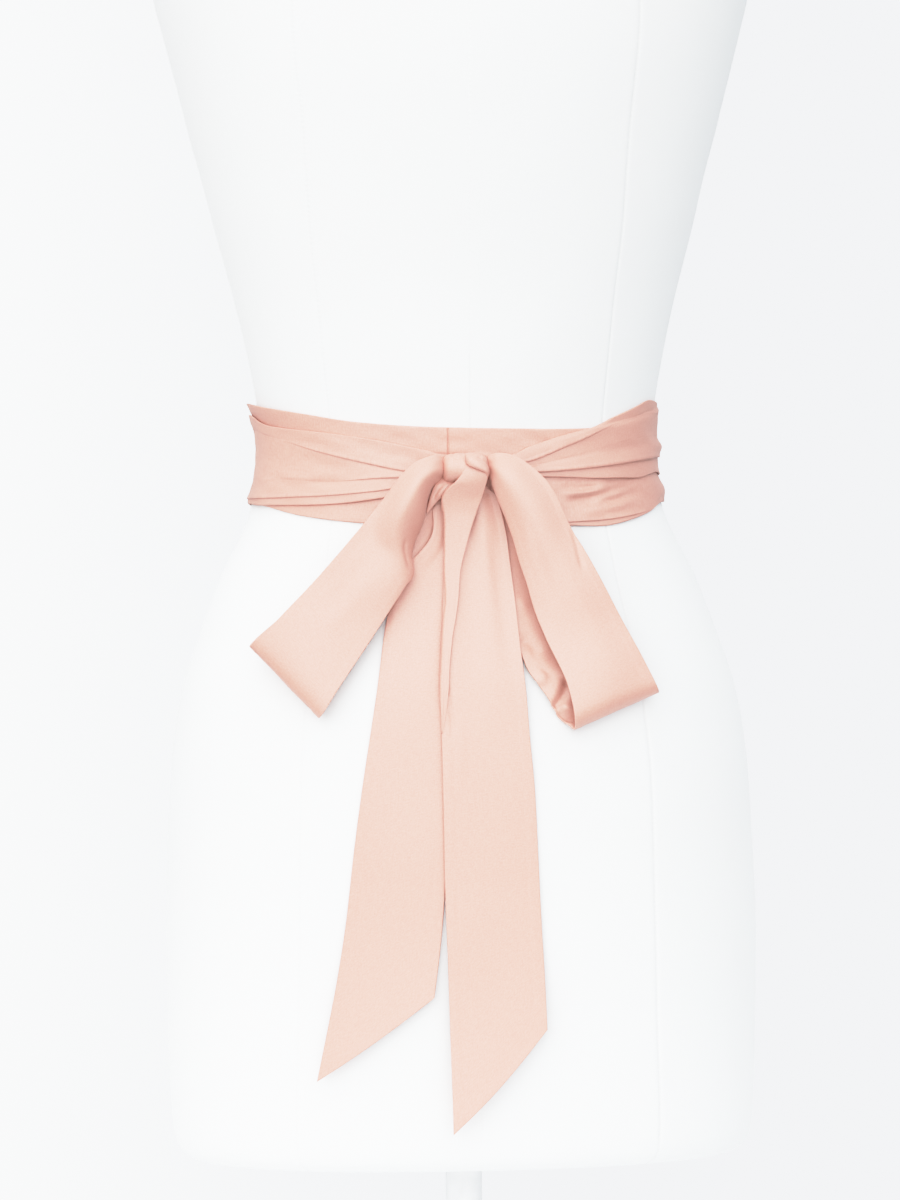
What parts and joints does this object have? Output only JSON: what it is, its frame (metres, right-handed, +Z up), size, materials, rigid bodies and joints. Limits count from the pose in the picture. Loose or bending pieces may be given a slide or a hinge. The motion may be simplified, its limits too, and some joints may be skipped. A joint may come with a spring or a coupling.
{
  "type": "satin sash on a limbless dress form",
  "caption": "Long double-layer satin sash wound twice round the waist and tied in a bow with slanted tails, on a canvas dress form with a round foot.",
  "frame": {"origin": "on the floor, at the middle of the foot's underside, under the post", "axes": "+X to the right as seen facing the bow, +Y away from the bow through the form, +Z up"},
  "size_m": [0.384, 0.32, 1.062],
  "materials": {
    "satin": "soft satin weave, blush pink, low sheen",
    "canvas": "tight white canvas cover, matt",
    "enamel": "white enamel, satin gloss"
  },
  "bodies": {
    "root": {"wrap_first": "satin", "wrap_over_left": "satin", "wrap_over_right": "satin", "knot": "satin", "bow_loop_left": "satin", "bow_loop_right": "satin", "tail_left": "satin", "tail_right": "satin", "tail_right_fold": "satin", "form_torso": "canvas", "form_post": "enamel", "form_collar": "enamel", "form_base": "enamel"}
  },
  "joints": []
}
